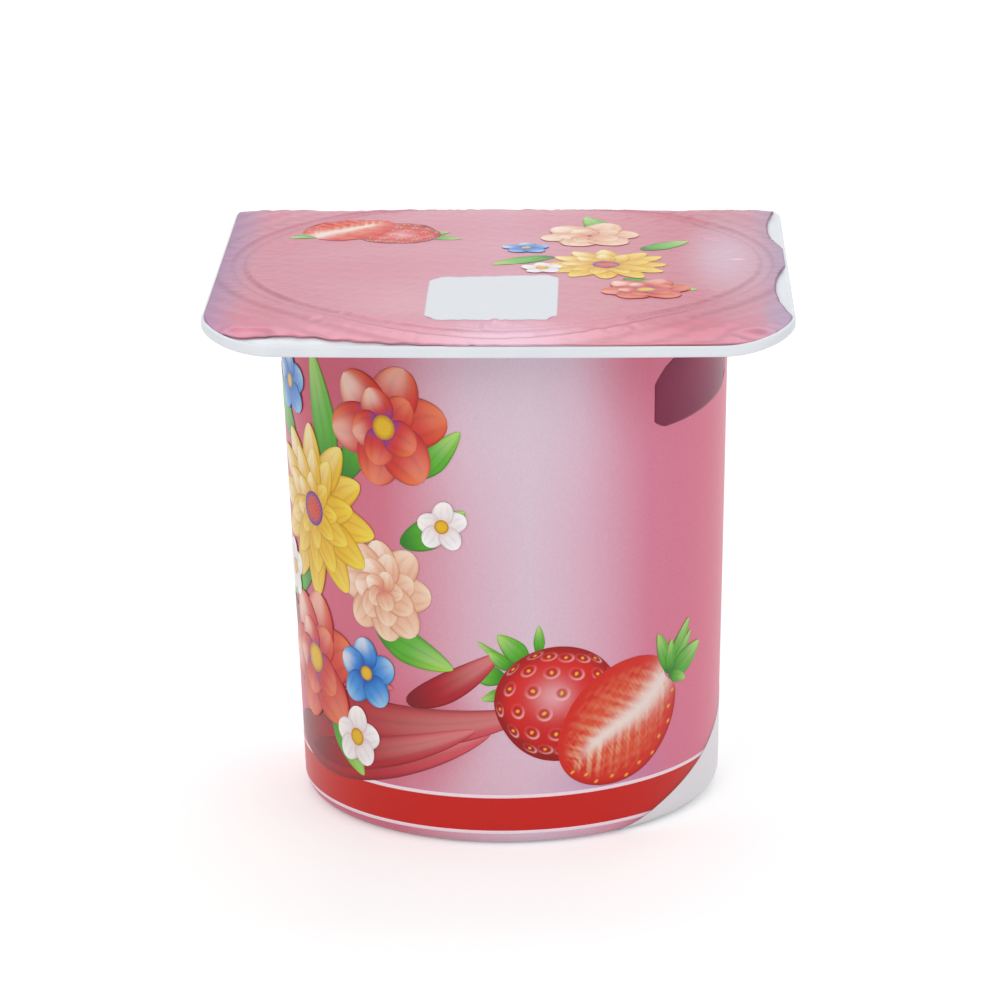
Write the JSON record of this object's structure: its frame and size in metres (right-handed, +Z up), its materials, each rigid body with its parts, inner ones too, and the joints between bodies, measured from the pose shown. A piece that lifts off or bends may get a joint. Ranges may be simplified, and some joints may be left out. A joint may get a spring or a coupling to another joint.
{
  "type": "yogurt pot",
  "caption": "Small sealed yogurt pot: tapered round cup with a square rounded flange, a printed paper band round its body and a foil lid.",
  "frame": {"origin": "centre of the base, on the surface that the pot stands on", "axes": "+Z up along the cup's axis, -Y to the front of the print, flange sides along X and Y"},
  "size_m": [0.066, 0.066, 0.0631],
  "materials": {
    "cup_plastic": "white polystyrene, soft satin",
    "label_paper": "printed coated paper, pink with a red band and strawberries",
    "lid_foil": "printed foil, pink, satin, lightly wrinkled"
  },
  "bodies": {
    "root": {"cup": "cup_plastic", "label": "label_paper", "lid": "lid_foil"}
  },
  "joints": []
}
